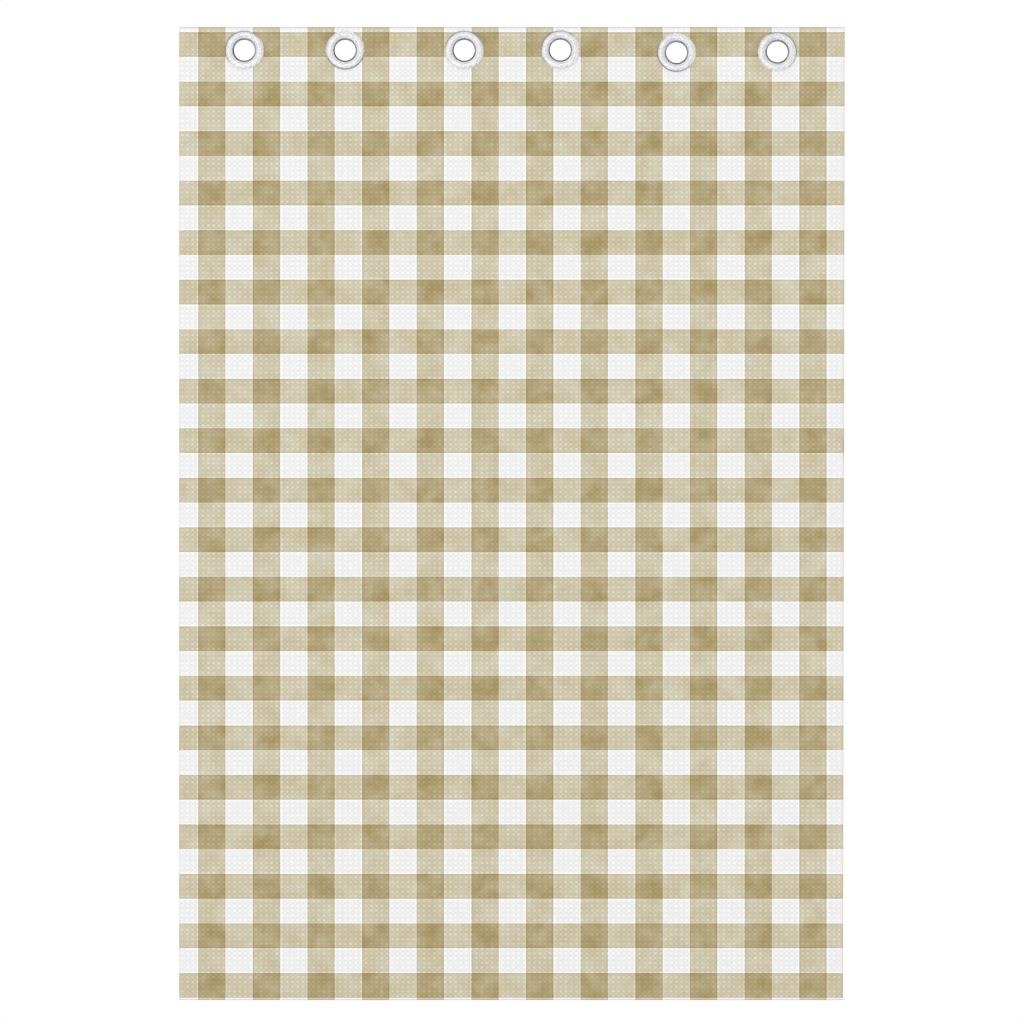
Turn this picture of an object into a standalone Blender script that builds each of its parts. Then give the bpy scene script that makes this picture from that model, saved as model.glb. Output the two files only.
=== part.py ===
"""Gingham eyelet curtain: one flat panel of cloth, its doubled heading and six round metal eyelets.

The curtain hangs flat in the XZ plane. Its front faces -Y, +X is to the right seen from the front,
and the origin is the middle of the top edge, halfway through the doubled heading. All in metres.
"""
import math

import bmesh
import bpy

# Finished cloth
WIDTH = 1.067
DROP = 1.560
FOOT_NARROWER = 0.003      # the right edge leans in this much by the foot
CLOTH = 0.0012             # one layer
DOUBLED = 0.0024           # folded back on itself: heading, side hems and foot hem
HEADING_DEPTH = 0.085
SIDE_HEM = 0.025
FOOT_HEM = 0.075
FOLD_ROUND = 0.0008        # rounding along a folded edge
FOLD_SEGMENTS = 3
GAP = 0.0003               # running gap between neighbouring pieces

# Eyelets: a domed front with a barrel through the cloth, and a ring pressed on from behind
FLANGE_RADIUS = 0.0312
FLANGE_RIM = 0.0009        # height of its outer edge
FLANGE_CROWN = 0.0250      # radius at which the dome is highest
FLANGE_HEIGHT = 0.0038
MOUTH_RADIUS = 0.0187      # where the dome turns down into the hole
MOUTH_HEIGHT = 0.0020
BORE_RADIUS = 0.01685      # the clear hole
BORE_START = -0.0003       # height at which the sloping mouth reaches the bore
BARREL_WALL = 0.0010
BACK_RADIUS = 0.0295
BACK_CROWN = 0.0238
BACK_RIM = 0.0007
BACK_HEIGHT = 0.0020
TURN_STEPS = 36
FRONT_DOME_STEPS = 8
BACK_DOME_STEPS = 6

# Eyelet centres from the middle of the top edge; they are spaced by eye, not evenly
EYELETS = (
    # name, across, down
    ("eyelet_1", -0.4290, 0.0372),
    ("eyelet_2", -0.2674, 0.0372),
    ("eyelet_3", -0.0766, 0.0372),
    ("eyelet_4", 0.0774, 0.0369),
    ("eyelet_5", 0.2637, 0.0410),
    ("eyelet_6", 0.4254, 0.0398),
)

# Derived places
FRONT_FACE = -DOUBLED / 2
BACK_FACE = DOUBLED / 2
BARREL_RADIUS = BORE_RADIUS + BARREL_WALL
RING_BORE = BARREL_RADIUS + GAP
BARREL_LENGTH = GAP + DOUBLED + GAP + BACK_HEIGHT
CUTTER_REACH = 0.010       # how far a cutter runs past what it cuts


def clear_scene():
    """Start from nothing."""
    for obj in list(bpy.data.objects):
        bpy.data.objects.remove(obj, do_unlink=True)


def new_collection(name):
    """A collection linked to the scene."""
    collection = bpy.data.collections.new(name)
    bpy.context.scene.collection.children.link(collection)
    return collection


def new_material(name, colour, roughness, metallic=0.0):
    """A plain Principled material from a linear colour."""
    material = bpy.data.materials.new(name)
    material.use_nodes = True
    shader = material.node_tree.nodes["Principled BSDF"]
    shader.inputs["Base Color"].default_value = (*colour, 1.0)
    shader.inputs["Roughness"].default_value = roughness
    shader.inputs["Metallic"].default_value = metallic
    material.diffuse_color = (*colour, 1.0)
    return material


def add_object(name, mesh, collection, material=None):
    """An object of the mesh, in the collection, wearing the material."""
    obj = bpy.data.objects.new(name, mesh)
    collection.objects.link(obj)
    if material:
        mesh.materials.append(material)
    return obj


def make_cutter(obj):
    """Show a cutter as wires only."""
    obj.hide_render = True
    obj.display_type = "WIRE"


def right_edge(z):
    """Where the right edge lies at a height: it leans in evenly from the top to the foot."""
    return WIDTH / 2 + FOOT_NARROWER * z / DROP


def cloth_block(top, foot, front, back, inset=0.0):
    """A flat block of cloth between two heights and two depths, its sides inset from the edges."""
    shape = bmesh.new()
    bmesh.ops.create_cube(shape, size=1.0)
    for vert in shape.verts:
        z = top if vert.co.z > 0 else foot
        x = right_edge(z) - inset if vert.co.x > 0 else inset - WIDTH / 2
        y = back if vert.co.y > 0 else front
        vert.co = (x, y, z)
    return shape


def round_folds(shape, folded_height):
    """Round the long edges of both sides, and those at the height where the cloth is folded."""
    def along_side(edge):
        a, b = edge.verts
        return abs(a.co.z - b.co.z) > GAP

    def along_fold(edge):
        a, b = edge.verts
        level = all(abs(v.co.z - folded_height) < GAP for v in (a, b))
        return level and abs(a.co.x - b.co.x) > GAP

    folds = [edge for edge in shape.edges if along_side(edge) or along_fold(edge)]
    bmesh.ops.bevel(
        shape, geom=folds, offset=FOLD_ROUND, offset_type="OFFSET", segments=FOLD_SEGMENTS,
        profile=0.5, affect="EDGES", material=-1,
    )


def to_mesh(shape, name):
    """The mesh of a finished bmesh."""
    mesh = bpy.data.meshes.new(name)
    shape.to_mesh(mesh)
    shape.free()
    return mesh


def cut(obj, name, cutters):
    """Take every object of the collection of cutters out of the object."""
    modifier = obj.modifiers.new(name, "BOOLEAN")
    modifier.operation = "DIFFERENCE"
    modifier.solver = "EXACT"
    modifier.operand_type = "COLLECTION"
    modifier.collection = cutters


def make_panel(parts, recess_cutters, material):
    """The cloth below the heading: one layer, with its side hems and foot hem turned to the back."""
    top = -HEADING_DEPTH - GAP
    block = cloth_block(top, -DROP, FRONT_FACE, BACK_FACE)
    round_folds(block, -DROP)
    panel = add_object("panel", to_mesh(block, "panel"), parts, material)

    recess = cloth_block(
        top + CUTTER_REACH, -DROP + FOOT_HEM, FRONT_FACE + CLOTH, BACK_FACE + CUTTER_REACH, SIDE_HEM
    )
    make_cutter(add_object("hem_recess", to_mesh(recess, "hem_recess"), recess_cutters))
    cut(panel, "single layer between the hems", recess_cutters)


def make_heading(parts, hole_cutters, material):
    """The doubled strip along the top, with a round hole for each eyelet's barrel."""
    block = cloth_block(0.0, -HEADING_DEPTH, FRONT_FACE, BACK_FACE)
    round_folds(block, 0.0)
    heading = add_object("heading", to_mesh(block, "heading"), parts, material)
    for name, across, down in EYELETS:
        bpy.ops.mesh.primitive_cylinder_add(
            vertices=TURN_STEPS, radius=RING_BORE, depth=DOUBLED + 2 * CUTTER_REACH,
            location=(across, 0.0, -down), rotation=(math.pi / 2, 0.0, 0.0),
        )
        hole = bpy.context.object
        hole.name = name + "_hole"
        for collection in list(hole.users_collection):
            collection.objects.unlink(hole)
        hole_cutters.objects.link(hole)
        make_cutter(hole)
    cut(heading, "eyelet holes", hole_cutters)


def dome(inner, crown, outer, steps):
    """Profile of a rounded flange between three (radius, height) points, from its inner edge outwards."""
    points = []
    for step in range(steps + 1):
        turn = math.pi * step / steps
        edge = inner if turn < math.pi / 2 else outer
        lean = abs(math.cos(turn))
        rise = math.sin(turn)
        points.append((
            crown[0] + (edge[0] - crown[0]) * lean,
            edge[1] + (crown[1] - edge[1]) * rise,
        ))
    return points


def turned(name, profile, collection, material):
    """A closed (radius, height) profile turned about the object's own Z axis."""
    shape = bmesh.new()
    verts = [shape.verts.new((radius, 0.0, height)) for radius, height in profile]
    for a, b in zip(verts, verts[1:] + verts[:1]):
        shape.edges.new((a, b))
    obj = add_object(name, to_mesh(shape, name), collection, material)
    screw = obj.modifiers.new("turn", "SCREW")
    screw.axis = "Z"
    screw.angle = 2 * math.pi
    screw.steps = TURN_STEPS
    screw.render_steps = TURN_STEPS
    screw.use_merge_vertices = True
    screw.merge_threshold = 0.00001
    screw.use_smooth_shade = True
    return obj


def make_eyelet(name, across, down, parts, material_front, material_back):
    """Both halves of one eyelet, held by an empty at the middle of its hole."""
    place = bpy.data.objects.new(name + "_place", None)
    place.location = (across, 0.0, -down)
    place.empty_display_size = FLANGE_RADIUS
    parts.objects.link(place)

    front_profile = dome(
        (MOUTH_RADIUS, MOUTH_HEIGHT), (FLANGE_CROWN, FLANGE_HEIGHT), (FLANGE_RADIUS, FLANGE_RIM),
        FRONT_DOME_STEPS,
    )
    front_profile += [
        (FLANGE_RADIUS, 0.0),
        (BARREL_RADIUS, 0.0),
        (BARREL_RADIUS, -BARREL_LENGTH),
        (BORE_RADIUS, -BARREL_LENGTH),
        (BORE_RADIUS, BORE_START),
    ]
    front = turned(name + "_front", front_profile, parts, material_front)
    front.parent = place
    front.location = (0.0, FRONT_FACE - GAP, 0.0)
    front.rotation_euler = (math.pi / 2, 0.0, 0.0)

    back_profile = dome(
        (RING_BORE, BACK_RIM), (BACK_CROWN, BACK_HEIGHT), (BACK_RADIUS, BACK_RIM), BACK_DOME_STEPS
    )
    back_profile += [(BACK_RADIUS, 0.0), (RING_BORE, 0.0)]
    back = turned(name + "_back", back_profile, parts, material_back)
    back.parent = place
    back.location = (0.0, BACK_FACE + GAP, 0.0)
    back.rotation_euler = (-math.pi / 2, 0.0, 0.0)


def main():
    """Build the curtain."""
    clear_scene()
    parts = new_collection("gingham_curtain")
    recess_cutters = new_collection("hem_recess_cutter")
    hole_cutters = new_collection("eyelet_hole_cutters")

    cloth = (0.62, 0.56, 0.41)
    panel_cloth = new_material("checked cotton", cloth, 0.85)
    heading_cloth = new_material("checked cotton, doubled", cloth, 0.85)
    front_nickel = new_material("polished nickel", (0.83, 0.84, 0.86), 0.18, 1.0)
    back_nickel = new_material("satin nickel", (0.74, 0.75, 0.77), 0.32, 1.0)

    make_panel(parts, recess_cutters, panel_cloth)
    make_heading(parts, hole_cutters, heading_cloth)
    for name, across, down in EYELETS:
        make_eyelet(name, across, down, parts, front_nickel, back_nickel)


main()
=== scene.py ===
"""Looks of a flat gingham eyelet curtain, dressed over its packed frame.

All sizes are in metres in the frame's own axes: the curtain hangs flat in the XZ plane, its front
faces -Y, +X is to the right seen from the front, and the origin is the middle of the top edge.
"""
import math

import bmesh
import bpy
from bpy.props import FloatProperty, FloatVectorProperty, IntProperty, PointerProperty
from mathutils import Matrix, Vector


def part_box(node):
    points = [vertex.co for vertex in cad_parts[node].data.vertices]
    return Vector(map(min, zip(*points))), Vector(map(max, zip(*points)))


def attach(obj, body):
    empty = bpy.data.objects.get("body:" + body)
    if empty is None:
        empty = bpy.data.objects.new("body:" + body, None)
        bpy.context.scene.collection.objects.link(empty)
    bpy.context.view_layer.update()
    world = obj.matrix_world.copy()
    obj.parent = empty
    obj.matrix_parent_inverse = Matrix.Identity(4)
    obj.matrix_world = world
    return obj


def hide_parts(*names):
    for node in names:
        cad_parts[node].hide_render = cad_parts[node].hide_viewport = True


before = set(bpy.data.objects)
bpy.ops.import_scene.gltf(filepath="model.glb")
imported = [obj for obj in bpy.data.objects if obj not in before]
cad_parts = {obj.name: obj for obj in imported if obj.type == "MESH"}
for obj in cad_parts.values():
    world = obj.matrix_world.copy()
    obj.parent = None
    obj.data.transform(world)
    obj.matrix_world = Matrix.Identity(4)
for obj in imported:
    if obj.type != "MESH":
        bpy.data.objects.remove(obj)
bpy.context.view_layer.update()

bl_info = {
    "name": "Gingham eyelet curtain",
    "version": (1, 0, 0),
    "blender": (4, 5, 0),
    "location": "3D View > Sidebar > Curtain",
    "description": "Dresses the frame of a flat gingham curtain with cloth, stitches and eyelets",
    "category": "Object",
}

# The finished curtain, read from the frame
HEADING_LOW, HEADING_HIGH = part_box("heading")
PANEL_LOW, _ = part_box("panel")
WIDTH = HEADING_HIGH.x - HEADING_LOW.x
DROP = -PANEL_LOW.z
FRONT_FACE = HEADING_LOW.y
BACK_FACE = HEADING_HIGH.y
FOOT_NARROWER = 0.003      # the right edge leans in this much by the foot
# Each eyelet, and the side on which its rim takes the most painted shade, turned from +X towards
# +Z
EYELET_SHADED_SIDES = {
    "eyelet_1": math.radians(120),
    "eyelet_2": math.radians(280),
    "eyelet_3": math.radians(90),
    "eyelet_4": math.radians(130),
    "eyelet_5": math.radians(220),
    "eyelet_6": math.radians(45),
}
EYELET_NAMES = list(EYELET_SHADED_SIDES)

# Names that more than one piece uses
ROOT = "root"
FLAT_MAP = "flat"          # the cloth's own map: where each point lies on the uncut cloth
CENTRE_MAP = "from_centre"  # an eyelet's own map: how far across and up from its middle
SHADED_SIDE_MAP = "shaded_side_up"  # the same, turned so that the side where its rim takes the most painted shade is up
MILLIMETRES = 1000.0
SHARP_ANGLE = math.radians(40)
MERGE_DISTANCE = 0.000001
NOISE_SPAN = (0.3, 0.7)    # most of a noise texture's values lie between these
BLACK_LIMIT = 0.04045      # sRGB values up to this one are linear already


def linear(code):
    """Linear red, green and blue of an sRGB hex colour."""
    values = [int(code[start:start + 2], 16) / 255 for start in (1, 3, 5)]
    return tuple(v / 12.92 if v <= BLACK_LIMIT else ((v + 0.055) / 1.055) ** 2.4 for v in values)


def colour_property(name, description, code):
    """A colour that a user can change, with its default as an sRGB hex value."""
    return FloatVectorProperty(
        name=name, description=description, subtype="COLOR", size=3, min=0.0, max=1.0,
        default=linear(code),
    )


def length_property(name, description, default):
    """A length in metres that a user can change."""
    return FloatProperty(
        name=name, description=description, default=default, unit="LENGTH", precision=5,
    )


class ClothSettings(bpy.types.PropertyGroup):
    """Sizes of the cloth and its hems"""

    layer: length_property("Layer", "Thickness of one layer of cloth", 0.00032)
    air: length_property("Air", "Gap between two layers that lie on each other", 0.00004)
    side_hem: length_property("Side hem", "Finished width of the hems down both sides", 0.025)
    foot_hem: length_property("Foot hem", "Finished height of the hem along the foot", 0.075)
    heading: length_property("Heading", "Finished height of the doubled top", 0.085)
    tuck: length_property("Tuck", "Raw edge turned under inside each hem", 0.010)
    sway: length_property("Sway", "How far the hanging cloth drifts from a flat plane", 0.0012)
    spacing: length_property("Grid spacing", "Distance between the points of the cloth", 0.012)
    eyelet_hole: length_property("Eyelet hole", "Radius of the hole cut for a barrel", 0.0181)


class WeaveSettings(bpy.types.PropertyGroup):
    """Sizes and colours of the checks and spots"""

    column_start: length_property("First column", "Left side of the first tan column", -0.5031)
    column_repeat: length_property("Column repeat", "One tan and one white column", 0.0876)
    row_start: length_property("First row", "Top side of the first tan row", -0.00824)
    row_repeat: length_property("Row repeat", "One tan and one white row", 0.07938)
    first_across: length_property("First spot across", "Middle of the first woven spot", -0.52877)
    first_down: length_property("First spot down", "Middle of the first woven spot", -0.00560)
    spot_across: length_property("Spots across", "Between woven spots along a row", 0.008428)
    spot_down: length_property("Spots down", "Between woven spots down a column", 0.007626)
    spot_radius: length_property("Spot radius", "Radius at which a spot has faded out", 0.0028)
    thread: length_property("Thread spacing", "Between the threads that are drawn", 0.00095)
    white: colour_property("White", "Bleached ground between the tan stripes", "#EBEBEC")
    half_deep: colour_property("Half tone, deep", "One stripe, where more dye took", "#C4B999")
    half_pale: colour_property("Half tone, pale", "One stripe, where less dye took", "#CEC8B2")
    full_deep: colour_property("Full tone, deep", "Two stripes, where more dye took", "#9F8D5B")
    full_pale: colour_property("Full tone, pale", "Two stripes, where less dye took", "#B6A986")
    rose: colour_property("Rose edge", "Faint tone of the folded edges", "#F5C4CB")


class StitchSettings(bpy.types.PropertyGroup):
    """Sizes and colour of the hem stitches"""

    length: length_property("Length", "Length of one hem stitch", 0.0034)
    thickness: length_property("Thickness", "Thickness of the sewing thread", 0.00045)
    spacing: length_property("Spacing", "Between two hem stitches", 0.008)
    slant: FloatProperty(
        name="Slant", description="Angle of a stitch to the hem's edge",
        default=math.radians(55), subtype="ANGLE",
    )
    colour: colour_property("Thread", "Unbleached sewing cotton", "#E4DCC8")


class EyeletSettings(bpy.types.PropertyGroup):
    """Sizes and colours of the metal eyelets"""

    flange: length_property("Flange radius", "Outer radius of the domed front", 0.0312)
    crown: length_property("Crown radius", "Radius at which the dome is highest", 0.0250)
    step: length_property("Step radius", "Radius of the fine line round the mouth", 0.0219)
    mouth: length_property("Mouth radius", "Where the dome turns down into the hole", 0.0187)
    bore: length_property("Bore radius", "Radius of the clear hole", 0.01685)
    ring: length_property("Back ring radius", "Outer radius of the ring at the back", 0.0295)
    bead: length_property("Bead", "Radius of the rolled rims", 0.00045)
    turn_steps: IntProperty(
        name="Turn steps", description="Divisions round an eyelet", default=96, min=24, max=192,
    )
    silver: colour_property("Silver", "Polished nickel on the dome", "#E6E6E9")
    # Painted shade of the mouth and bore, where little light reaches into the hole
    shade: colour_property("Mouth", "Darker nickel inside the mouth and bore", "#33343A")
    # Painted shade: the blue-grey of the rim's shaded side, a dark reflection painted on its curve
    rim: colour_property("Rim", "Blue-grey nickel of the rolled rim", "#5A6A81")
    satin: colour_property("Satin", "Satin nickel of the rings at the back", "#D6D6DA")


class StageSettings(bpy.types.PropertyGroup):
    """The floor, the light and the camera"""

    room_light: FloatProperty(
        name="Room light", description="Even white light from all sides", default=1.0, min=0.0,
    )
    soft_light: FloatProperty(
        name="Soft light", description="Large lamp before the curtain, a little to the left",
        default=12.6, min=0.0, unit="POWER",
    )
    floor_depth: length_property("Floor", "How far the floor lies below the top edge", 2.1)
    floor: colour_property("Floor colour", "Pale matt floor", "#F6F5F3")
    lens: FloatProperty(
        name="Lens", description="Focal length in millimetres", default=180.0, min=1.0,
        unit="CAMERA",
    )
    frame_width: length_property("View width", "Width that the camera takes in", 1.64147)
    eye_height: length_property("Eye height", "Height of the camera", -0.7775)


def add(tree, kind, inputs=(), **properties):
    """Add a shader node, set its properties and fill its inputs, in order or by name.

    An input is filled by a plain value, by a socket, or by the first output of another node.
    """
    node = tree.nodes.new("ShaderNode" + kind)
    for name, value in properties.items():
        setattr(node, name, value)
    if not isinstance(inputs, dict):
        inputs = dict(enumerate(inputs))
    in_order = [socket for socket in node.inputs if socket.enabled]
    for key, value in inputs.items():
        socket = node.inputs[key] if isinstance(key, str) else in_order[key]
        if isinstance(value, bpy.types.Node):
            value = next(output for output in value.outputs if output.enabled)
        if isinstance(value, bpy.types.NodeSocket):
            tree.links.new(value, socket)
        elif socket.type == "RGBA":
            socket.default_value = (*value[:3], 1.0)
        else:
            socket.default_value = value
    return node


def new_material(name, roughness, metallic=0.0):
    """A material with its node tree and its shader."""
    material = bpy.data.materials.new(name)
    material.use_nodes = True
    tree = material.node_tree
    shader = tree.nodes["Principled BSDF"]
    shader.inputs["Roughness"].default_value = roughness
    shader.inputs["Metallic"].default_value = metallic
    return material, tree, shader


def new_piece(shape, name, material):
    """An object of a finished bmesh, smooth but for its sharp edges, wearing the material."""
    mesh = bpy.data.meshes.new(name)
    shape.to_mesh(mesh)
    shape.free()
    mesh.materials.append(material)
    mesh.shade_smooth()
    mesh.set_sharp_from_angle(angle=SHARP_ANGLE)
    piece = bpy.data.objects.new(name, mesh)
    bpy.context.scene.collection.objects.link(piece)
    return piece


def smooth(value):
    """Ease from 0 to 1, level at both ends."""
    value = min(max(value, 0.0), 1.0)
    return value * value * (3.0 - 2.0 * value)


def right_lean(z):
    """How far the right edge leans in at a height, as a negative distance."""
    return FOOT_NARROWER * z / DROP


SWAY_START = 0.12          # how far below the top edge the cloth starts to drift
SWAY_GROWTH = 0.60         # and the height over which the drift grows to its full amount
SWAY_WAVES = (
    # share of the drift, length across, length up, start in turns
    (0.5, 0.83, math.inf, 0.12),
    (0.3, 0.47, -1.90, 0.35),
    (0.2, 0.31, 2.60, 0.80),
)


def sway(x, z, amount):
    """How far the hanging cloth drifts to the back: nothing at the heading, more at the foot."""
    freedom = smooth((-z - SWAY_START) / SWAY_GROWTH)
    drift = sum(
        share * math.sin(2 * math.pi * (x / across + z / up + start))
        for share, across, up, start in SWAY_WAVES
    )
    return amount * freedom * drift


# Divisions of the legs of the cloth's paths. Flat legs are divided by the grid spacing
FOLD_DIVISIONS = 6
SETTLE_DIVISIONS = 4
TUCK_FOLD_DIVISIONS = 4
TUCK_DIVISIONS = 2
RISE_DIVISIONS = 4
COVERED_DIVISIONS = 3


def hem_legs(flat, hem, settle, fold_radius, cloth):
    """Legs of a path that runs out to a folded edge, back along its hem and under it.

    A leg is its length, the angle that it turns through and its number of divisions.
    """
    pitch = cloth.layer + cloth.air
    fold_reach = fold_radius + cloth.layer / 2
    tuck_radius = pitch / 2
    back = hem - fold_reach - tuck_radius - cloth.layer / 2 - settle
    return flat + [
        (math.pi * fold_radius, math.pi, FOLD_DIVISIONS),
        (back, 0.0, max(2, round(back / cloth.spacing))),
        (settle, 0.0, SETTLE_DIVISIONS),
        (math.pi * tuck_radius, math.pi, TUCK_FOLD_DIVISIONS),
        (cloth.tuck, 0.0, TUCK_DIVISIONS),
    ]


def marks(legs):
    """The places at which the legs of a path are divided, counted in legs."""
    places = [
        number + step / divisions
        for number, (_, _, divisions) in enumerate(legs) for step in range(divisions)
    ]
    return places + [float(len(legs))]


def walk(place, legs):
    """Where a path has come to at a place counted in legs: 2.5 is halfway down the third leg.

    Gives how far it leads along and behind, its heading, and the length of cloth that it took.
    """
    along = behind = heading = taken = 0.0
    for number, (length, turn, _) in enumerate(legs):
        step = length * min(max(place - number, 0.0), 1.0)
        if turn:
            radius = length / turn
            ahead = heading + step / radius
            along += radius * (math.sin(ahead) - math.sin(heading))
            behind += radius * (math.cos(heading) - math.cos(ahead))
            heading = ahead
        else:
            along += step * math.cos(heading)
            behind += step * math.sin(heading)
        taken += step
    return along, behind, heading, taken


# Places on the cloth's paths, counted in legs. Across, the first three legs are the middle of
# the curtain, a strip where hems rise onto the side hem, and the strip in front of the side hem
RISE_LEG = 1
SIDE_HEM_PLACE = 2
SETTLE_LEG = 3
TUCK_PLACE = 4
RISE_WIDTH = 0.030
HEM_CLEARANCE = 0.001
SETTLE_HEIGHT = 0.014      # length over which a hem settles onto the single layer
# How many layers behind the front one a hem settles, and how many more where it crosses a side hem
MIDDLE_LAYERS = 2
SIDE_HEM_LAYERS = 3


def fold_cloth(cloth):
    """One length of cloth, its side hems turned back first and then its heading and foot hem."""
    pitch = cloth.layer + cloth.air
    fold_radius = (BACK_FACE - FRONT_FACE - cloth.layer) / 2
    fold_reach = fold_radius + cloth.layer / 2
    side_reach = pitch + cloth.layer / 2
    covered = cloth.side_hem + HEM_CLEARANCE - side_reach
    middle = WIDTH / 2 - side_reach - covered - RISE_WIDTH
    upright = DROP / 2 - fold_reach
    flat_across = [
        (middle, 0.0, round(middle / cloth.spacing)),
        (RISE_WIDTH, 0.0, RISE_DIVISIONS),
        (covered, 0.0, COVERED_DIVISIONS),
    ]
    across_legs = hem_legs(flat_across, cloth.side_hem, SETTLE_HEIGHT, pitch, cloth)
    plain = [(upright, 0.0, round(upright / cloth.spacing))]
    up_legs = hem_legs(plain, cloth.heading, SETTLE_HEIGHT, fold_radius, cloth)
    down_legs = hem_legs(plain, cloth.foot_hem, SETTLE_HEIGHT, fold_radius, cloth)

    columns = [-place for place in marks(across_legs)[:0:-1]] + marks(across_legs)
    rows = [-place for place in marks(down_legs)[:0:-1]] + marks(up_legs)
    shape = bmesh.new()
    bmesh.ops.create_grid(
        shape, x_segments=len(columns) - 1, y_segments=len(rows) - 1, size=1.0
    )
    flat_places = {}
    trimmed = set()
    for vert in shape.verts:
        column = columns[round((vert.co.x + 1) / 2 * (len(columns) - 1))]
        row = rows[round((vert.co.y + 1) / 2 * (len(rows) - 1))]
        side = math.copysign(1.0, column)
        end = math.copysign(1.0, row)
        out, depth, _, used_across = walk(abs(column), across_legs)
        rise, behind, heading, used_up = walk(abs(row), up_legs if row > 0 else down_legs)

        z = -DROP / 2 + end * (rise - math.sin(heading) * depth)
        lean = right_lean(z) * min(max(column, 0.0), 1.0)
        x = side * out + lean
        layers = MIDDLE_LAYERS + SIDE_HEM_LAYERS * smooth(abs(column) - RISE_LEG)
        settled = pitch * layers
        drop = smooth(abs(row) - SETTLE_LEG) * (2 * fold_radius - settled)
        y = FRONT_FACE + cloth.layer / 2 + behind + math.cos(heading) * depth - drop
        vert.co = (x, y + sway(x, z, cloth.sway), z)
        flat_places[vert.index] = (side * used_across + lean, -DROP / 2 + end * used_up)
        if abs(column) >= SIDE_HEM_PLACE and abs(row) >= TUCK_PLACE:
            trimmed.add(vert)

    flat_map = shape.loops.layers.uv.new(FLAT_MAP)
    for face in shape.faces:
        for loop in face.loops:
            loop[flat_map].uv = flat_places[loop.vert.index]
    corners = [face for face in shape.faces if trimmed.issuperset(face.verts)]
    bmesh.ops.delete(shape, geom=corners, context="FACES")
    return shape


def eyelet_centre(name):
    """The middle of an eyelet, on the plane of the cloth."""
    low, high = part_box(name + "_front")
    return Vector(((low.x + high.x) / 2, 0.0, (low.z + high.z) / 2))


HOLE_SEGMENTS = 64
CUTTER_LENGTH = 0.02


def hole_cutter(radius):
    """A piece with one cylinder for each eyelet's barrel."""
    shape = bmesh.new()
    upright = Matrix.Rotation(math.pi / 2, 4, "X")
    for name in EYELET_NAMES:
        bmesh.ops.create_cone(
            shape, cap_ends=True, segments=HOLE_SEGMENTS, radius1=radius, radius2=radius,
            depth=CUTTER_LENGTH, matrix=Matrix.Translation(eyelet_centre(name)) @ upright,
        )
    mesh = bpy.data.meshes.new("barrel_holes")
    shape.to_mesh(mesh)
    shape.free()
    cutter = bpy.data.objects.new("barrel_holes", mesh)
    bpy.context.scene.collection.objects.link(cutter)
    return cutter


def apply_modifiers(piece):
    """Give the piece the mesh that its modifiers make, and clear them."""
    seen = piece.evaluated_get(bpy.context.evaluated_depsgraph_get())
    made = bpy.data.meshes.new_from_object(seen)
    plain = piece.data
    piece.modifiers.clear()
    piece.data = made
    made.name = piece.name
    bpy.data.meshes.remove(plain)


def into_stripe(tree, distance, start, repeat):
    """Millimetres that a point lies inside the nearest tan stripe, negative on white.

    A turn is one tan and one white stripe. The swing is 0.5 in the middle of a tan stripe, 0 in
    the middle of a white one and 0.25 where the two meet.
    """
    turns = add(
        tree, "Math", (distance, 1 / repeat, 0.25 - start / repeat), operation="MULTIPLY_ADD"
    )
    swing = add(tree, "Math", (turns, 0.5), operation="PINGPONG")
    return add(
        tree, "Math", (swing, abs(repeat), -0.25 * abs(repeat)), operation="MULTIPLY_ADD"
    )


EDGE_REACH = 1.0           # millimetres from a colour change to the strongest tone beside it
EDGE_STRENGTH = (0.12, 0.13, 0.18)  # that tone, in red, green and blue


def stripe_edge_tone(tree, inside):
    """Tone beside a colour change, where threads crowd: deeper on tan, whiter on white.

    With r as the distance over EDGE_REACH, it swings as r exp((1 - r^2) / 2), which peaks at 1.
    """
    ratio = add(tree, "Math", (inside, 1 / EDGE_REACH), operation="MULTIPLY")
    square = add(tree, "Math", (ratio, ratio), operation="MULTIPLY")
    power = add(tree, "Math", (square, -0.5, 0.5), operation="MULTIPLY_ADD")
    fade = add(tree, "Math", (power,), operation="EXPONENT")
    swing = add(tree, "Math", (ratio, fade), operation="MULTIPLY")
    deeper = add(tree, "VectorMath", (EDGE_STRENGTH, swing), operation="MULTIPLY")
    return add(tree, "VectorMath", ((1.0, 1.0, 1.0), deeper), operation="SUBTRACT")


SPOT_NARROWING = 0.85      # scales distances across a spot, so that spots are wider than high
SPOT_HEIGHTS = (0.70, 1.30)  # the least and the most that a spot stands out
CORNER_SPOT = 0.22         # height of the fainter spots


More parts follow.
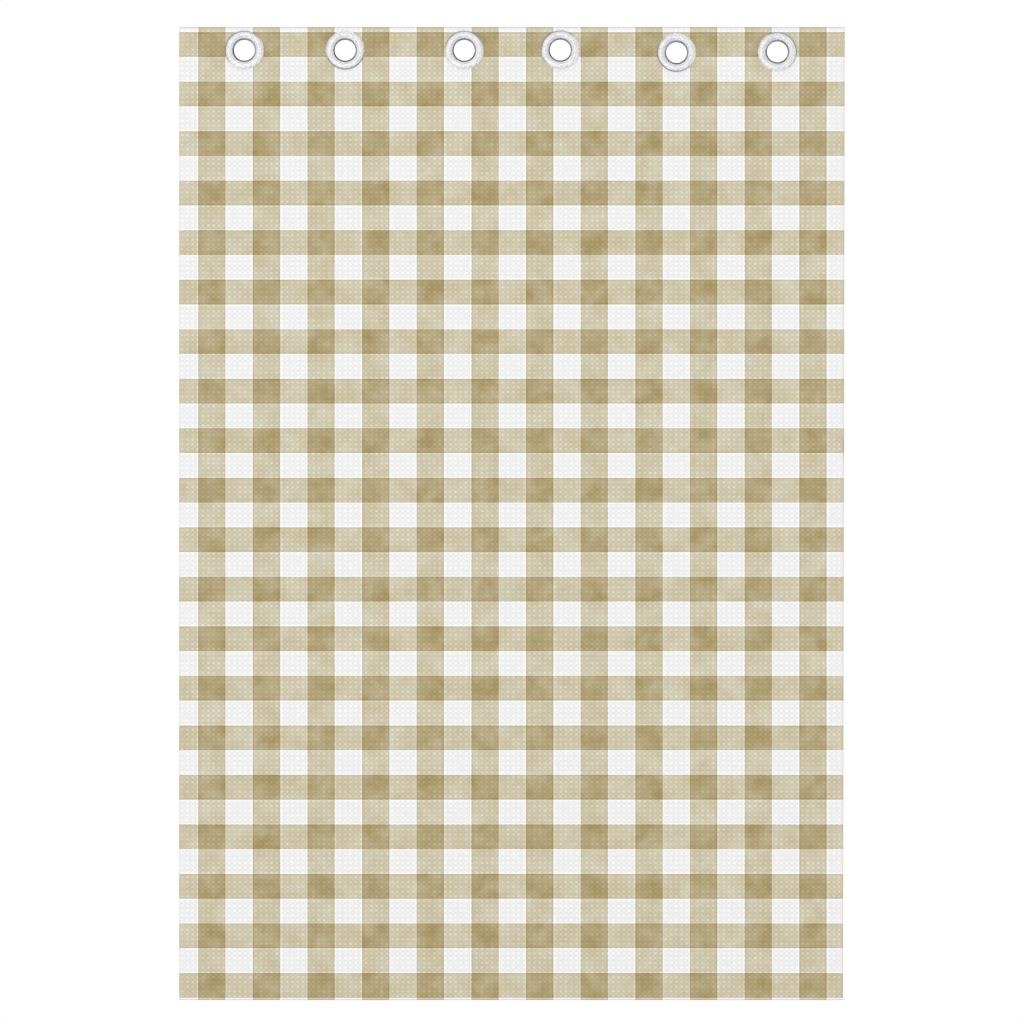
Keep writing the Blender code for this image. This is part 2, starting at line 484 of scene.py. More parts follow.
def woven_spots(tree, place, weave):
    """Height of the woven spots: a full one in each cell, and a fainter one at each corner."""
    pitch = Vector((weave.spot_across, weave.spot_down, 0.0)) * MILLIMETRES
    first = Vector((weave.first_across, weave.first_down, 0.0)) * MILLIMETRES
    per_cell = Vector((1 / pitch.x, 1 / pitch.y, 0.0))
    shift = Vector((0.5 - first.x / pitch.x, 0.5 - first.y / pitch.y, 0.0))
    cells = add(tree, "VectorMath", (place, per_cell, shift), operation="MULTIPLY_ADD")
    number = add(tree, "VectorMath", (cells,), operation="FLOOR")
    part = add(tree, "VectorMath", (cells,), operation="FRACTION")
    centred = add(tree, "VectorMath", (part, (0.5, 0.5, 0.0)), operation="SUBTRACT")
    away = add(tree, "VectorMath", (centred,), operation="ABSOLUTE")
    other = add(tree, "VectorMath", ((0.5, 0.5, 0.0), away), operation="SUBTRACT")
    wider_spots = Vector((SPOT_NARROWING * pitch.x, pitch.y, 0.0))
    heights = []
    for steps in (away, other):
        offset = add(tree, "VectorMath", (steps, wider_spots), operation="MULTIPLY")
        length = add(tree, "VectorMath", (offset,), operation="LENGTH")
        heights.append(add(
            tree, "MapRange", (length, 0.0, weave.spot_radius * MILLIMETRES, 1.0, 0.0),
            interpolation_type="SMOOTHSTEP",
        ))
    chance = add(tree, "TexWhiteNoise", (number,), noise_dimensions="2D")
    uneven = add(tree, "MapRange", (chance, 0.0, 1.0, *SPOT_HEIGHTS))
    main = add(tree, "Math", (heights[0], uneven), operation="MULTIPLY")
    return add(tree, "Math", (heights[1], CORNER_SPOT, main), operation="MULTIPLY_ADD")


# The rose tone of the folded edges, in millimetres: solid to one distance, gone by the other
ROSE_REACH = (1.0, 2.2)
# A short stretch of the right edge where the tone is full: its middle height and where it fades,
# in millimetres, and its strength before and after it has faded
TICK_MIDDLE = -675.0
TICK_FADE = (13.0, 21.0)
TICK_STRENGTH = (1.15, 0.50)


def rose_edges(tree, place, down):
    """How strongly the rose tone shows along each folded edge of the curtain."""
    width, drop = WIDTH * MILLIMETRES, DROP * MILLIMETRES
    lean = -FOOT_NARROWER / DROP
    from_tick = add(tree, "Math", (down, -TICK_MIDDLE), operation="ADD")
    tick_distance = add(tree, "Math", (from_tick,), operation="ABSOLUTE")
    right_strength = add(
        tree, "MapRange", (tick_distance, *TICK_FADE, *TICK_STRENGTH),
        interpolation_type="SMOOTHSTEP",
    )
    edges = (
        # direction away from the edge, offset of the edge, strength
        ((1.0, 0.0, 0.0), width / 2, 0.22),
        ((1.0, lean, 0.0), -width / 2, right_strength),
        ((0.0, 1.0, 0.0), 0.0, 0.80),
        ((0.0, 1.0, 0.0), drop, 0.68),
    )
    strongest = 0.0
    for direction, offset, strength in edges:
        along = add(tree, "VectorMath", (place, direction), operation="DOT_PRODUCT")
        distance = add(tree, "Math", (along.outputs["Value"], offset), operation="ADD")
        size = add(tree, "Math", (distance,), operation="ABSOLUTE")
        shown = add(
            tree, "MapRange", (size, *ROSE_REACH, strength, 0.0), interpolation_type="SMOOTHSTEP"
        )
        strongest = add(tree, "Math", (strongest, shown), operation="MAXIMUM")
    return strongest


# Woven cotton: matt, with a little fuzz that catches light from the side
COTTON_ROUGHNESS = 0.86
COTTON_SHEEN = 0.05
COTTON_SHEEN_ROUGHNESS = 0.5
# Lengths of its pattern, in millimetres
COLOUR_CHANGE = 0.5        # half the width over which one colour gives way to the next
CLOUD_SIZE = 36.0          # of the soft clouds where dye took unevenly
THREAD_RELIEF = 0.03       # how high threads and spots stand
SPOT_RELIEF = 0.12
RELIEF_STRENGTH = 0.6
# Tones of its pattern
CLOUD_RANGE = (0.32, 0.68)  # noise that gives the deepest and the palest dye
SPOT_GAIN_ON_WHITE = 0.20
SPOT_GAIN_MORE_ON_TAN = 0.12
SPOT_TINT_ON_WHITE = (1.12, 1.08, 1.0)
SPOT_TINT_ON_TAN = (0.95, 1.0, 1.25)
THREAD_TONES = (0.97, 1.03)
SLUB_TONES = (0.985, 1.015)
SLUB_SCALES = (0.10, 1.1, 1.0)  # thicker stretches of yarn are about 10 mm long and 1 mm high
THREAD_WANDER = 0.6        # how far threads stray from a straight line
BANDS_PER_SCALE = 20 / (2 * math.pi)  # a wave texture's bands to one millimetre, at a scale of 1


def gingham_cotton(weave):
    """Woven cotton gingham: matt and soft, with a half tone where one tan stripe crosses white."""
    material, tree, shader = new_material("woven cotton gingham", COTTON_ROUGHNESS)
    shader.inputs["Sheen Weight"].default_value = COTTON_SHEEN
    shader.inputs["Sheen Roughness"].default_value = COTTON_SHEEN_ROUGHNESS
    flat = add(tree, "UVMap", uv_map=FLAT_MAP)
    place = add(tree, "VectorMath", (flat, MILLIMETRES), operation="SCALE")
    axes = add(tree, "SeparateXYZ", (place,))

    # Stripes both ways, and the tone beside each colour change
    stripes = (
        (axes.outputs["X"], weave.column_start * MILLIMETRES, weave.column_repeat * MILLIMETRES),
        (axes.outputs["Y"], weave.row_start * MILLIMETRES, -weave.row_repeat * MILLIMETRES),
    )
    tans = []
    tones = []
    for distance, start, repeat in stripes:
        inside = into_stripe(tree, distance, start, repeat)
        tans.append(add(
            tree, "MapRange", (inside, -COLOUR_CHANGE, COLOUR_CHANGE),
            interpolation_type="SMOOTHSTEP",
        ))
        tones.append(stripe_edge_tone(tree, inside))

    # Dye that took unevenly, in soft clouds
    clouds = add(
        tree, "TexNoise",
        {"Vector": place, "Scale": 1 / CLOUD_SIZE, "Detail": 3.0, "Roughness": 0.52},
    )
    mottle = add(tree, "MapRange", (clouds, *CLOUD_RANGE))
    half = add(tree, "Mix", (mottle, weave.half_deep, weave.half_pale), data_type="RGBA")
    full = add(tree, "Mix", (mottle, weave.full_deep, weave.full_pale), data_type="RGBA")
    white_row = add(tree, "Mix", (tans[0], weave.white, half), data_type="RGBA")
    tan_row = add(tree, "Mix", (tans[0], half, full), data_type="RGBA")
    ground = add(tree, "Mix", (tans[1], white_row, tan_row), data_type="RGBA")

    # Woven spots are of bleached yarn, so they are a little less yellow, and show more on tan
    spots = woven_spots(tree, place, weave)
    tan = add(tree, "Math", (tans[0], tans[1]), operation="MAXIMUM")
    gain = add(
        tree, "Math", (tan, SPOT_GAIN_MORE_ON_TAN, SPOT_GAIN_ON_WHITE), operation="MULTIPLY_ADD"
    )
    strength = add(tree, "Math", (spots, gain), operation="MULTIPLY")
    tint = add(tree, "Mix", (tan, SPOT_TINT_ON_WHITE, SPOT_TINT_ON_TAN), data_type="VECTOR")
    spot_tone = add(
        tree, "VectorMath", (strength, tint, (1.0, 1.0, 1.0)), operation="MULTIPLY_ADD"
    )
    spotted = add(tree, "VectorMath", (ground, spot_tone), operation="MULTIPLY")

    # Real threads are 0.3 mm apart. They are drawn three times as coarse, to show in a close view
    wave_scale = 1 / (BANDS_PER_SCALE * weave.thread * MILLIMETRES)
    warp, weft = (
        add(
            tree, "TexWave",
            {"Vector": place, "Scale": wave_scale, "Distortion": THREAD_WANDER},
            bands_direction=direction,
        ).outputs["Fac"]
        for direction in ("X", "Y")
    )
    threads = add(tree, "Math", (warp, weft), operation="ADD")
    thread_tone = add(tree, "MapRange", (threads, 0.0, 2.0, *THREAD_TONES))
    stretched = add(tree, "VectorMath", (place, SLUB_SCALES), operation="MULTIPLY")
    slubs = add(tree, "TexNoise", {"Vector": stretched, "Scale": 1.0, "Detail": 1.0})
    slub_tone = add(tree, "MapRange", (slubs, *NOISE_SPAN, *SLUB_TONES))

    cotton = spotted
    for factor in (*tones, thread_tone, slub_tone):
        cotton = add(tree, "VectorMath", (cotton, factor), operation="MULTIPLY")
    colour = add(
        tree, "Mix", (rose_edges(tree, place, axes.outputs["Y"]), cotton, weave.rose),
        data_type="RGBA", blend_type="MULTIPLY", clamp_factor=False,
    )
    tree.links.new(colour.outputs["Result"], shader.inputs["Base Color"])

    # Relief in millimetres: spots stand a little proud of the threads
    thread_height = add(tree, "Math", (threads, THREAD_RELIEF), operation="MULTIPLY")
    height = add(tree, "Math", (spots, SPOT_RELIEF, thread_height), operation="MULTIPLY_ADD")
    bump = add(
        tree, "Bump",
        {"Strength": RELIEF_STRENGTH, "Distance": 1 / MILLIMETRES, "Height": height},
    )
    tree.links.new(bump.outputs["Normal"], shader.inputs["Normal"])
    return material


# Twisted sewing cotton: matt, with a fine twist. Scales are for lengths in metres
SEWING_ROUGHNESS = 0.8
SEWING_DEEP_SHARE = 0.8    # its deepest colour, as a share of its palest
SEWING_UNEVEN_SCALE = 600.0
TWIST_SCALE = 500.0
TWIST_STRENGTH = 0.5
TWIST_RELIEF = 0.0001


def sewing_cotton(stitch):
    """Twisted sewing cotton: matt, a little uneven in colour, with a fine twist."""
    material, tree, shader = new_material("twisted sewing cotton", SEWING_ROUGHNESS)
    place = add(tree, "TexCoord").outputs["Object"]
    uneven = add(
        tree, "TexNoise", {"Vector": place, "Scale": SEWING_UNEVEN_SCALE, "Detail": 1.0}
    )
    deep = Vector(stitch.colour) * SEWING_DEEP_SHARE
    colour = add(tree, "Mix", (uneven, deep, stitch.colour), data_type="RGBA")
    tree.links.new(colour.outputs["Result"], shader.inputs["Base Color"])
    twist = add(
        tree, "TexWave", {"Vector": place, "Scale": TWIST_SCALE}, bands_direction="DIAGONAL"
    )
    bump = add(tree, "Bump", {
        "Strength": TWIST_STRENGTH, "Distance": TWIST_RELIEF, "Height": twist.outputs["Fac"],
    })
    tree.links.new(bump.outputs["Normal"], shader.inputs["Normal"])
    return material


STITCH_SIDES = 6
STITCH_RINGS = 5


def stitch_row(shape, start, end, stitch, cloth):
    """Slanted stitches along a hem's inner edge that hold it to the single layer."""
    run = end - start
    count = int(run.length / stitch.spacing)
    pitch = cloth.layer + cloth.air
    turn = math.atan2(run.z, run.x) + stitch.slant
    size = Matrix.Diagonal((stitch.length, stitch.thickness, stitch.thickness, 1.0))
    for number in range(count + 1):
        place = start + run * (number / count)
        place.y = FRONT_FACE + cloth.layer + 2 * pitch + sway(place.x, place.z, cloth.sway)
        bmesh.ops.create_uvsphere(
            shape, u_segments=STITCH_SIDES, v_segments=STITCH_RINGS, radius=0.5,
            matrix=Matrix.Translation(place) @ Matrix.Rotation(-turn, 4, "Y") @ size,
        )


def arc(centre, radius, start, end, steps):
    """Points of a profile on part of a circle, by its angles in degrees."""
    points = []
    for step in range(steps + 1):
        turn = math.radians(start + (end - start) * step / steps)
        points.append((centre[0] + radius * math.cos(turn), centre[1] + radius * math.sin(turn)))
    return points


def swell(start, end, steps):
    """Points of a quarter ellipse between two (radius, height) points, level at the higher one."""
    low, high = sorted((start, end), key=lambda point: point[1])
    points = []
    for step in range(steps + 1):
        turn = math.pi / 2 * step / steps
        points.append((
            high[0] + (low[0] - high[0]) * math.cos(turn),
            low[1] + (high[1] - low[1]) * math.sin(turn),
        ))
    return points if low is start else points[::-1]


def rolled_rim(outer, bead):
    """Points of a rolled rim, from the cloth up and over, and where its flange starts."""
    middle = (outer - bead, bead)
    return arc(middle, bead, -90, 110, 8), (middle[0] - RIM_SETBACK, RIM_HEIGHT)


# Where a flange leaves its rolled rim: how far inside the rim's middle, and how high
RIM_SETBACK = 0.0004
RIM_HEIGHT = 0.0010
# Heights of an eyelet's front, and the walls of its barrel
CROWN_HEIGHT = 0.0041
STEP_HEIGHT = 0.0038
MOUTH_HEIGHT = 0.0025
BARREL_WALL = 0.0010
BARREL_REACH = 0.0018      # past the back of the cloth
LIP = 0.0005               # radius of the barrel's curled lip
# The ring at the back
RING_GAP = 0.0013          # from the clear hole to the ring
RING_CROWN = 0.0238        # radius at which it is highest
RING_HEIGHT = 0.0023


def front_profile(eyelet):
    """Closed (radius, height) profile of an eyelet's front and barrel, 0 on the cloth."""
    step, mouth, bore = eyelet.step, eyelet.mouth, eyelet.bore
    crown = (eyelet.crown, CROWN_HEIGHT)
    step_foot = (step - 0.0004, 0.00368)
    barrel = bore + BARREL_WALL
    end = FRONT_FACE - BACK_FACE - BARREL_REACH
    profile, flange_start = rolled_rim(eyelet.flange, eyelet.bead)
    profile += swell(flange_start, crown, 12)
    profile += swell(crown, (step, STEP_HEIGHT), 4)[1:]
    profile += [(step - 0.00012, 0.00372), step_foot]
    profile += swell(step_foot, (mouth, MOUTH_HEIGHT), 6)[1:]
    profile += [(mouth - 0.0003, 0.0021), (bore + 0.0002, 0.0005), (bore, 0.0), (bore, end)]
    profile += arc((bore + LIP, end), LIP, -180, -360, 6)[1:]
    profile += [(barrel, end + 0.0004), (barrel, 0.0)]
    return profile


def back_profile(eyelet):
    """Closed (radius, height) profile of the ring pressed on from behind, 0 on the cloth."""
    inner = eyelet.bore + RING_GAP
    crown = (RING_CROWN, RING_HEIGHT)
    profile, flange_start = rolled_rim(eyelet.ring, eyelet.bead)
    profile += swell(flange_start, crown, 10)
    profile += swell(crown, (inner + 0.0002, 0.0011), 8)[1:]
    profile += [(inner, 0.0009), (inner, 0.0)]
    return profile


def turned(name, profile, base, outward, steps):
    """A closed (radius, height) profile spun round an eyelet's axis, with its two maps."""
    centre = eyelet_centre(name)
    shape = bmesh.new()
    verts = []
    for radius, height in profile:
        place = centre + Vector((radius, base + outward * height, 0.0))
        verts.append(bmesh.ops.create_vert(shape, co=place)["vert"][0])
    edges = [shape.edges.new(pair) for pair in zip(verts, verts[1:] + verts[:1])]
    bmesh.ops.spin(
        shape, geom=verts + edges, cent=centre, axis=(0.0, 1.0, 0.0), angle=2 * math.pi,
        steps=steps, use_merge=True,
    )
    bmesh.ops.remove_doubles(shape, verts=shape.verts, dist=MERGE_DISTANCE)
    bmesh.ops.recalc_face_normals(shape, faces=shape.faces)
    centre_map = shape.loops.layers.uv.new(CENTRE_MAP)
    shaded_map = shape.loops.layers.uv.new(SHADED_SIDE_MAP)
    shaded_side_up = Matrix.Rotation(math.pi / 2 - EYELET_SHADED_SIDES[name], 2)
    for face in shape.faces:
        for loop in face.loops:
            offset = (loop.vert.co - centre).xz
            loop[centre_map].uv = offset
            loop[shaded_map].uv = shaded_side_up @ offset
    return shape


POLISHED_ROUGHNESS = 0.22
SATIN_ROUGHNESS = 0.34
# Painted shade on the nickel plate: it drifts from shaded to lit round an eyelet. The scale is for
# lengths in metres
DRIFT_SCALE = 30.0
DRIFT_SHARE = 1.6
SHADE_RANGE = (0.5, 1.5)    # drift and side together, from its lit side to its shaded side
UP = (0.0, 1.0, 0.0)
RIM_SHADE_DEPTHS = (0.0, 0.66)   # how much of its painted shade the rim takes, from its lit side to its shaded side
MOUTH_SHADE_DEPTHS = (0.15, 1.0)
MOUTH_SHADED_SIDE = (-0.35, -0.94, 0.0)  # low and to the left, where less light gets into the mouth and its painted shade is deepest
MOUTH_SPREAD = 1.2         # how much further out its painted shade reaches there, in millimetres
MOUTH_LIGHTER = 3.6        # its painted shade on the lit side, as a multiple of that on the shaded side
# Where the tone changes with the radius: millimetres from the mouth, crown, step or flange
MOUTH_EDGE = (-1.4, -0.6)
BRIGHTENING = 3.2
CROWN_EDGE = (-2.0, 4.0)
RIM_EDGE = (-2.6, -1.0)
NEAR_RIM = (-5.5, -3.5)
BEAD_LINE = -3.1
LINE_HALF = 0.4            # half the width of the fine lines at the step and inside the rim
# Painted shade and highlight there, as shares of the silver's full brightness
BRIGHTENING_TONES = (0.70, 0.965)
CROWN_TONES = (0.93, 0.955)
STEP_LINE_TONE = -0.15
BEAD_LINE_TONE = -0.14
GLINT_TONE = 0.09
# Polishing marks in millimetres. Real ones are far finer. These are drawn as coarse as they need
# to be to sparkle in a view of the whole curtain
POLISH_LENGTH = 3.6
POLISH_SPACING = 1.0
POLISH_TONES = (0.75, 1.30)
# Turning lines: a scale that sets them 0.4 mm apart, and how high they stand, in metres
TURNING_SCALE = 0.8
TURNING_WANDER = 0.5
TURNING_STRENGTH = 0.15
TURNING_RELIEF = 0.00003


def nickel(name, eyelet, silver, roughness):
    """Bright nickel plate, pressed and polished: near white, with painted shade in the mouth and
    at the rim and a painted highlight by the rim.
    """
    material, tree, shader = new_material(name, roughness, metallic=1.0)
    offset = add(tree, "UVMap", uv_map=CENTRE_MAP)
    length = add(tree, "VectorMath", (offset,), operation="LENGTH")
    radius = add(tree, "Math", (length.outputs["Value"], MILLIMETRES), operation="MULTIPLY")
    object_place = add(tree, "TexCoord").outputs["Object"]
    mouth, crown, step, flange = (
        size * MILLIMETRES for size in (eyelet.mouth, eyelet.crown, eyelet.step, eyelet.flange)
    )

    # Painted shade: the plate is shaded more on one side than the other, at the rim and in the
    # mouth
    direction = add(tree, "VectorMath", (offset,), operation="NORMALIZE")
    turned_offset = add(tree, "UVMap", uv_map=SHADED_SIDE_MAP)
    turned_direction = add(tree, "VectorMath", (turned_offset,), operation="NORMALIZE")
    drift = add(
        tree, "TexNoise", {"Vector": object_place, "Scale": DRIFT_SCALE, "Detail": 1.0}
    )
    depths = []
    for way, shaded_side, span in (
        (turned_direction, UP, RIM_SHADE_DEPTHS), (direction, MOUTH_SHADED_SIDE, MOUTH_SHADE_DEPTHS)
    ):
        turned_to = add(tree, "VectorMath", (way, shaded_side), operation="DOT_PRODUCT")
        side = add(tree, "Math", (drift, DRIFT_SHARE, turned_to), operation="MULTIPLY_ADD")
        depths.append(add(
            tree, "MapRange", (side, *SHADE_RANGE, *span), interpolation_type="SMOOTHSTEP"
        ))
    rim_shade_depth, mouth_shade_depth = depths

    # Painted shade: the mouth and bore are dark. Outside them the painted shade lifts and the
    # plate brightens, up to the crown and the rim
    mouth_place = add(
        tree, "Math", (mouth_shade_depth, -MOUTH_SPREAD, radius), operation="MULTIPLY_ADD"
    )
    out_of_mouth = add(
        tree, "MapRange", (mouth_place, mouth + MOUTH_EDGE[0], mouth + MOUTH_EDGE[1]),
        interpolation_type="SMOOTHSTEP",
    )
    brightening = add(
        tree, "MapRange", (radius, mouth, mouth + BRIGHTENING, *BRIGHTENING_TONES),
        interpolation_type="SMOOTHERSTEP",
    )
    changes = []
    for middle, edge, tones in (
        (crown, CROWN_EDGE, CROWN_TONES), (flange, NEAR_RIM, (0.0, 1.0)),
        (flange, RIM_EDGE, (0.0, 1.0)),
    ):
        changes.append(add(
            tree, "MapRange", (radius, middle + edge[0], middle + edge[1], *tones),
            interpolation_type="SMOOTHSTEP",
        ))
    crown_tone, near_rim, at_rim = changes

    # Painted shade: fine darker lines at the step and inside the rim
    line_tones = []
    for middle, line_tone in ((step, STEP_LINE_TONE), (flange + BEAD_LINE, BEAD_LINE_TONE)):
        on_line = add(tree, "Math", (radius, middle, LINE_HALF), operation="COMPARE")
        line_tones.append(add(tree, "Math", (on_line, line_tone, 1.0), operation="MULTIPLY_ADD"))

    # Short polishing marks that run round the axis
    around = add(tree, "VectorMath", (direction, crown / POLISH_LENGTH), operation="SCALE")
    outwards = add(tree, "Math", (radius, 1 / POLISH_SPACING), operation="MULTIPLY")
    out = add(tree, "CombineXYZ", {"Z": outwards})
    polish_place = add(tree, "VectorMath", (around, out), operation="ADD")
    polish = add(tree, "TexNoise", {"Vector": polish_place, "Scale": 1.0, "Detail": 1.0})
    polish_tone = add(tree, "MapRange", (polish, *NOISE_SPAN, *POLISH_TONES))

    # Painted shade: the rolled rim is blue-grey on its shaded side and as bright as the plate
    # elsewhere
    # Painted highlight: on its lit side the plate brightens towards the rim
    glint = add(tree, "Math", (rim_shade_depth, -GLINT_TONE, GLINT_TONE), operation="MULTIPLY_ADD")
    glint_tone = add(tree, "Math", (near_rim, glint, 1.0), operation="MULTIPLY_ADD")

    tone = brightening
    for factor in (*line_tones, crown_tone, polish_tone, glint_tone):
        tone = add(tree, "Math", (tone, factor), operation="MULTIPLY")
    plate = add(tree, "VectorMath", (silver, tone), operation="SCALE")
    # Painted shade: the rim takes the blue-grey on its shaded side
    rimmed = add(tree, "Math", (rim_shade_depth, at_rim), operation="MULTIPLY")
    edged = add(tree, "Mix", (rimmed, plate, eyelet.rim), data_type="RGBA")
    # Painted shade in the mouth and bore, deepest on its shaded side
    lighter_shade = Vector(eyelet.shade) * MOUTH_LIGHTER
    shaded = add(tree, "Mix", (mouth_shade_depth, lighter_shade, eyelet.shade), data_type="RGBA")
    colour = add(tree, "Mix", (out_of_mouth, shaded, edged), data_type="RGBA")
    tree.links.new(colour.outputs["Result"], shader.inputs["Base Color"])

    # Fine turning lines round the axis
    lines = add(tree, "TexWave", {
        "Vector": add(tree, "CombineXYZ", (radius,)), "Scale": TURNING_SCALE,
        "Distortion": TURNING_WANDER,
    })
    bump = add(tree, "Bump", {
        "Strength": TURNING_STRENGTH, "Distance": TURNING_RELIEF,
        "Height": lines.outputs["Fac"],
    })
    tree.links.new(bump.outputs["Normal"], shader.inputs["Normal"])
    return material


# Matt paint. The scale is for lengths in metres
PAINT_ROUGHNESS = 0.9
PAINT_UNEVEN_SCALE = 3.0
PAINT_DEEP_SHARE = 0.97    # its deepest colour, as a share of its palest


def pale_floor(stage):
    """Painted board: matt and pale, with a faint unevenness."""
    material, tree, shader = new_material("matt painted floor", PAINT_ROUGHNESS)
    place = add(tree, "TexCoord").outputs["Object"]
    uneven = add(
        tree, "TexNoise", {"Vector": place, "Scale": PAINT_UNEVEN_SCALE, "Detail": 2.0}
    )
    deep = Vector(stage.floor) * PAINT_DEEP_SHARE
    colour = add(tree, "Mix", (uneven, deep, stage.floor), data_type="RGBA")
    tree.links.new(colour.outputs["Result"], shader.inputs["Base Color"])
    return material


class CURTAIN_OT_eyelet_fronts(bpy.types.Operator):
    """Make the six domed fronts, each with its barrel through the cloth"""

    bl_idname = "curtain.eyelet_fronts"
    bl_label = "Make eyelet fronts"

    def execute(self, context):
        eyelet = context.scene.curtain_eyelet
        material = nickel("polished nickel plate", eyelet, eyelet.silver, POLISHED_ROUGHNESS)
        for name in EYELET_NAMES:
            shape = turned(name, front_profile(eyelet), FRONT_FACE, -1.0, eyelet.turn_steps)
            piece = new_piece(shape, name + "_dome", material)
            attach(piece, ROOT)
            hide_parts(name + "_front")
        return {"FINISHED"}


class CURTAIN_OT_eyelet_backs(bpy.types.Operator):
    """Make the six rings that are pressed on from behind"""

    bl_idname = "curtain.eyelet_backs"
    bl_label = "Make eyelet backs"

    def execute(self, context):
        eyelet = context.scene.curtain_eyelet
        material = nickel("satin nickel plate", eyelet, eyelet.satin, SATIN_ROUGHNESS)
        for name in EYELET_NAMES:
            shape = turned(name, back_profile(eyelet), BACK_FACE, 1.0, eyelet.turn_steps)
            piece = new_piece(shape, name + "_ring", material)
            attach(piece, ROOT)
            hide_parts(name + "_back")
        return {"FINISHED"}


class CURTAIN_OT_stitches(bpy.types.Operator):
    """Sew the inner edges of the hems and the heading to the single layer, at the back"""

    bl_idname = "curtain.stitches"
    bl_label = "Make hem stitches"

    def execute(self, context):
        cloth = context.scene.curtain_cloth
        stitch = context.scene.curtain_stitch
        material = sewing_cotton(stitch)
        left = -WIDTH / 2 + cloth.side_hem
        right = WIDTH / 2 - cloth.side_hem
        foot = -DROP + cloth.foot_hem
        clear = RISE_WIDTH + HEM_CLEARANCE
        rows = {
            "heading_stitches": [
                ((left + clear, -cloth.heading), (right - clear, -cloth.heading)),
            ],
            "foot_hem_stitches": [
                ((left + clear, foot), (right + right_lean(foot) - clear, foot)),
            ],
            "side_hem_stitches": [
                ((left, -cloth.heading - stitch.spacing), (left, foot + stitch.spacing)),
                (
                    (right + right_lean(-cloth.heading), -cloth.heading - stitch.spacing),
                    (right + right_lean(foot), foot + stitch.spacing),
                ),
            ],
        }
        for name, ends in rows.items():
            shape = bmesh.new()
            for (x1, z1), (x2, z2) in ends:
                stitch_row(shape, Vector((x1, 0.0, z1)), Vector((x2, 0.0, z2)), stitch, cloth)
            piece = new_piece(shape, name, material)
            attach(piece, ROOT)
        return {"FINISHED"}


class CURTAIN_OT_cloth(bpy.types.Operator):
    """Fold the cloth, give it its thickness and cut the holes for the eyelets"""

    bl_idname = "curtain.cloth"
    bl_label = "Make cloth"

    def execute(self, context):
        cloth = context.scene.curtain_cloth
        piece = new_piece(fold_cloth(cloth), "cloth", gingham_cotton(context.scene.curtain_weave))
        thickness = piece.modifiers.new("thickness", "SOLIDIFY")
        thickness.thickness = cloth.layer
        thickness.offset = 0.0
        cutter = hole_cutter(cloth.eyelet_hole)
        holes = piece.modifiers.new("barrel holes", "BOOLEAN")
        holes.object = cutter
        holes.operation = "DIFFERENCE"
        holes.solver = "EXACT"
        apply_modifiers(piece)
        bpy.data.objects.remove(cutter)
        piece.data.set_sharp_from_angle(angle=SHARP_ANGLE)

        domes = [name + "_dome" for name in EYELET_NAMES]
        rings = [name + "_ring" for name in EYELET_NAMES]
        sewn = ["heading_stitches", "foot_hem_stitches", "side_hem_stitches"]
        missing = [name for name in domes + rings + sewn if name not in bpy.data.objects]
        if missing:
            raise RuntimeError(f"make these pieces before the cloth: {missing}")
        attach(piece, ROOT)
        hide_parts("panel", "heading")
        return {"FINISHED"}


FLOOR_RADIUS = 2.4
FLOOR_SEGMENTS = 96
LAMP_PLACE = (-1.6, -4.2, -0.2)
LAMP_SIZE = 5.0
SENSOR_WIDTH = 36.0        # millimetres
CLIP_END = 100.0


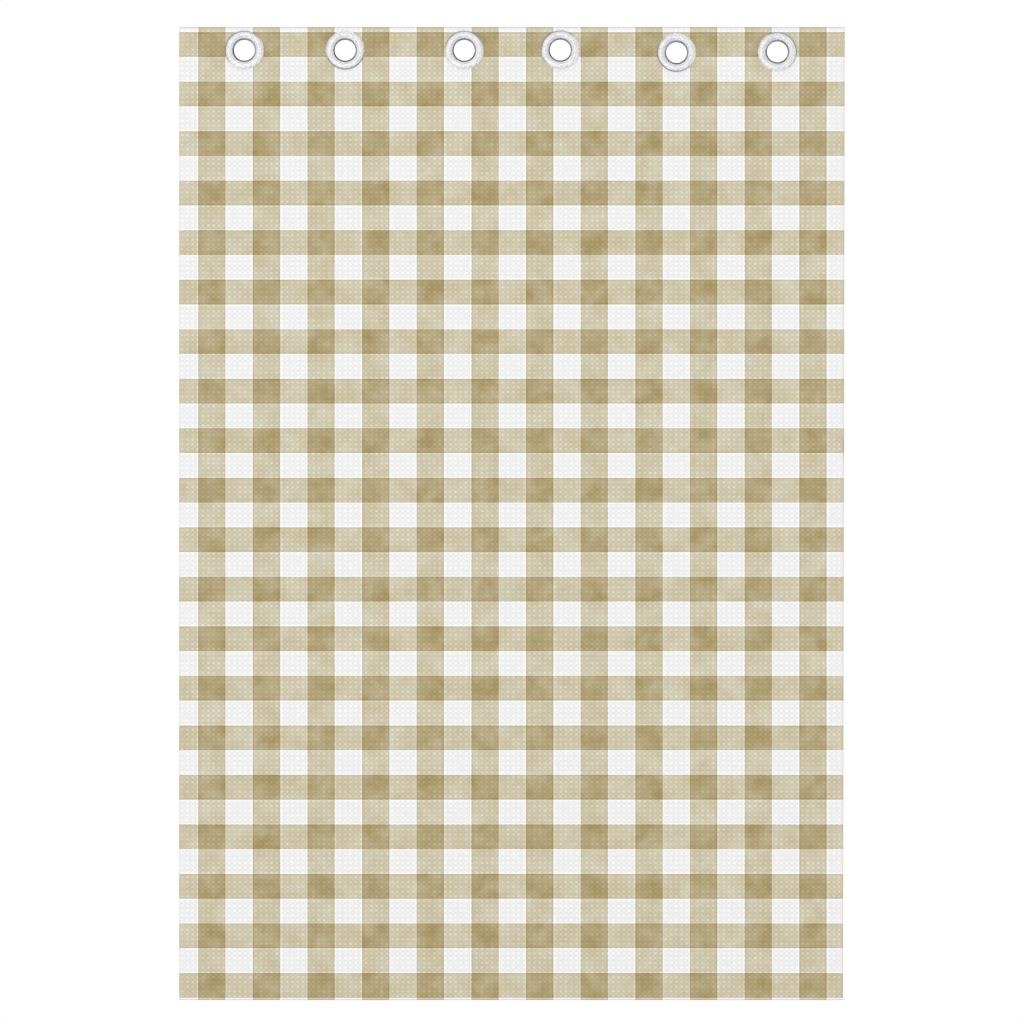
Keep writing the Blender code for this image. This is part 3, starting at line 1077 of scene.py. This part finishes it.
class CURTAIN_OT_stage(bpy.types.Operator):
    """Lay the floor and set up the light and the camera"""

    bl_idname = "curtain.stage"
    bl_label = "Make stage"

    def execute(self, context):
        scene = context.scene
        stage = scene.curtain_stage
        shape = bmesh.new()
        bmesh.ops.create_circle(
            shape, cap_ends=True, segments=FLOOR_SEGMENTS, radius=FLOOR_RADIUS,
            matrix=Matrix.Translation((0.0, 0.0, -stage.floor_depth)),
        )
        floor = new_piece(shape, "floor", pale_floor(stage))

        world = bpy.data.worlds.new("even white room")
        world.use_nodes = True
        background = world.node_tree.nodes["Background"]
        background.inputs["Color"].default_value = (1.0, 1.0, 1.0, 1.0)
        background.inputs["Strength"].default_value = stage.room_light
        scene.world = world

        lamp = bpy.data.lights.new("soft lamp", "AREA")
        lamp.shape = "DISK"
        lamp.size = LAMP_SIZE
        lamp.energy = stage.soft_light
        lamp_object = bpy.data.objects.new("soft lamp", lamp)
        lamp_object.location = LAMP_PLACE
        aim = Vector((0.0, 0.0, -DROP / 2)) - lamp_object.location
        lamp_object.rotation_euler = aim.to_track_quat("-Z", "Y").to_euler()
        lamp_object.visible_camera = False
        scene.collection.objects.link(lamp_object)

        camera = bpy.data.cameras.new("camera")
        camera.lens = stage.lens
        camera.sensor_width = SENSOR_WIDTH
        camera.clip_end = CLIP_END
        distance = stage.frame_width * stage.lens / camera.sensor_width
        camera_object = bpy.data.objects.new("camera", camera)
        camera_object.location = (0.0, FRONT_FACE - distance, stage.eye_height)
        camera_object.rotation_euler = (math.pi / 2, 0.0, 0.0)
        scene.collection.objects.link(camera_object)
        scene.camera = camera_object
        scene.view_settings.view_transform = "Standard"
        return {"FINISHED"}


OPERATORS = (
    CURTAIN_OT_eyelet_fronts,
    CURTAIN_OT_eyelet_backs,
    CURTAIN_OT_stitches,
    CURTAIN_OT_cloth,
    CURTAIN_OT_stage,
)

SETTINGS = {
    "curtain_cloth": ClothSettings,
    "curtain_weave": WeaveSettings,
    "curtain_stitch": StitchSettings,
    "curtain_eyelet": EyeletSettings,
    "curtain_stage": StageSettings,
}


class CURTAIN_PT_panel(bpy.types.Panel):
    """The curtain's settings and the buttons that make its pieces"""

    bl_idname = "CURTAIN_PT_panel"
    bl_label = "Curtain"
    bl_space_type = "VIEW_3D"
    bl_region_type = "UI"
    bl_category = "Curtain"

    def draw(self, context):
        for operator in OPERATORS:
            self.layout.operator(operator.bl_idname)
        for name, group in SETTINGS.items():
            box = self.layout.box()
            box.label(text=group.__doc__)
            for setting in group.__annotations__:
                box.prop(getattr(context.scene, name), setting)


def register():
    """Register the settings, the operators and the panel."""
    for name, group in SETTINGS.items():
        bpy.utils.register_class(group)
        setattr(bpy.types.Scene, name, PointerProperty(type=group))
    for operator in OPERATORS:
        bpy.utils.register_class(operator)
    bpy.utils.register_class(CURTAIN_PT_panel)


def unregister():
    """Take everything off again, in the opposite order."""
    bpy.utils.unregister_class(CURTAIN_PT_panel)
    for operator in reversed(OPERATORS):
        bpy.utils.unregister_class(operator)
    for name, group in reversed(SETTINGS.items()):
        delattr(bpy.types.Scene, name)
        bpy.utils.unregister_class(group)


def main():
    """Make every piece and the stage."""
    register()
    bpy.ops.curtain.eyelet_fronts()
    bpy.ops.curtain.eyelet_backs()
    bpy.ops.curtain.stitches()
    bpy.ops.curtain.cloth()
    bpy.ops.curtain.stage()
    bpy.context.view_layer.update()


if __name__ == "__main__":
    main()
